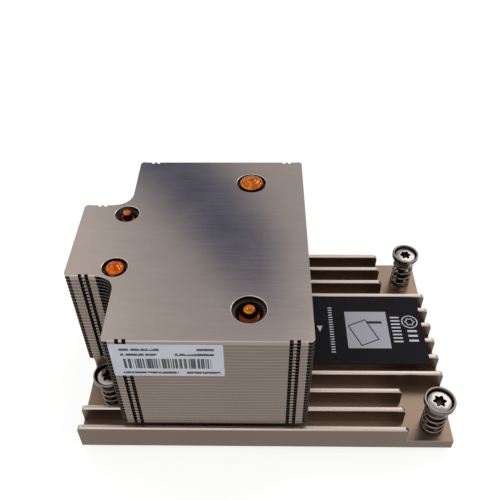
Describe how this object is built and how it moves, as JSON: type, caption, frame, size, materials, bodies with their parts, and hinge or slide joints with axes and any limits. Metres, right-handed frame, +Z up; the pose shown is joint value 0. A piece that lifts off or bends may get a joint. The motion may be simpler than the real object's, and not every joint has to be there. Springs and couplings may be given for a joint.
{
  "type": "passive server processor heatsink",
  "caption": "Passive server processor heatsink: a ribbed metal base, a tower of folded fins on bent copper heat pipes, and captive spring screws at its corners.",
  "frame": {"origin": "middle of the base's footprint on the contact face underneath", "axes": "+X along the ribs, away from the tower's ear; +Z up through the fins"},
  "size_m": [0.1189, 0.082, 0.0562],
  "materials": {
    "nickel_plate": "satin nickel plate over metal, bright on the rib tops",
    "nickel_sheet": "nickel-plated rolled sheet with a fine grain",
    "copper": "bare bright copper",
    "spring_steel": "bright drawn wire",
    "plated_steel": "polished nickel-plated steel",
    "pale_film": "semi-matt printed film",
    "black_film": "semi-matt black film"
  },
  "bodies": {
    "root": {"finned_base": "nickel_plate", "large_heat_pipe": "copper", "small_heat_pipe": "copper", "fin_01": "nickel_sheet", "fin_02": "nickel_sheet", "fin_03": "nickel_sheet", "fin_04": "nickel_sheet", "fin_05": "nickel_sheet", "fin_06": "nickel_sheet", "fin_07": "nickel_sheet", "fin_08": "nickel_sheet", "fin_09": "nickel_sheet", "fin_10": "nickel_sheet", "fin_11": "nickel_sheet", "fin_12": "nickel_sheet", "fin_13": "nickel_sheet", "fin_14": "nickel_sheet", "fin_15": "nickel_sheet", "fin_16": "nickel_sheet", "fin_17": "nickel_sheet", "fin_18": "nickel_sheet", "fin_19": "nickel_sheet", "fin_20": "nickel_sheet", "fin_21": "nickel_sheet", "fin_22": "nickel_sheet", "fin_23": "nickel_sheet", "fin_24": "nickel_sheet", "fin_25": "nickel_sheet", "fin_26": "nickel_sheet", "fin_27": "nickel_sheet", "fin_28": "nickel_sheet", "top_fin": "nickel_sheet", "front_label": "pale_film", "base_label": "black_film", "spring_front_right": "spring_steel", "spring_rear_right": "spring_steel", "spring_front_left": "spring_steel", "spring_rear_left": "spring_steel"},
    "front_right_cup": {"cup_front_right": "plated_steel"},
    "front_right_screw": {"screw_front_right": "plated_steel"},
    "rear_right_cup": {"cup_rear_right": "plated_steel"},
    "rear_right_screw": {"screw_rear_right": "plated_steel"},
    "front_left_cup": {"cup_front_left": "plated_steel"},
    "front_left_screw": {"screw_front_left": "plated_steel"},
    "rear_left_cup": {"cup_rear_left": "plated_steel"},
    "rear_left_screw": {"screw_rear_left": "plated_steel"}
  },
  "joints": [
    {"name": "front_right_press", "type": "slide", "parent": "root", "child": "front_right_cup", "axis": [0, 0, 1], "range_m": [-0.0035, 0], "stiffness_N_per_m": 4000, "deforming": ["spring_front_right"]},
    {"name": "front_right_turn", "type": "hinge", "parent": "front_right_cup", "child": "front_right_screw", "pos_m": [0.0532, -0.033, 0.0173], "axis": [0, 0, 1], "continuous": true},
    {"name": "rear_right_press", "type": "slide", "parent": "root", "child": "rear_right_cup", "axis": [0, 0, 1], "range_m": [-0.0035, 0], "stiffness_N_per_m": 4000, "deforming": ["spring_rear_right"]},
    {"name": "rear_right_turn", "type": "hinge", "parent": "rear_right_cup", "child": "rear_right_screw", "pos_m": [0.0532, 0.0312, 0.0173], "axis": [0, 0, 1], "continuous": true},
    {"name": "front_left_press", "type": "slide", "parent": "root", "child": "front_left_cup", "axis": [0, 0, 1], "range_m": [-0.0035, 0], "stiffness_N_per_m": 4000, "deforming": ["spring_front_left"]},
    {"name": "front_left_turn", "type": "hinge", "parent": "front_left_cup", "child": "front_left_screw", "pos_m": [-0.0502, -0.0242, 0.0173], "axis": [0, 0, 1], "continuous": true},
    {"name": "rear_left_press", "type": "slide", "parent": "root", "child": "rear_left_cup", "axis": [0, 0, 1], "range_m": [-0.0035, 0], "stiffness_N_per_m": 4000, "deforming": ["spring_rear_left"]},
    {"name": "rear_left_turn", "type": "hinge", "parent": "rear_left_cup", "child": "rear_left_screw", "pos_m": [-0.0502, 0.0246, 0.0173], "axis": [0, 0, 1], "continuous": true}
  ]
}
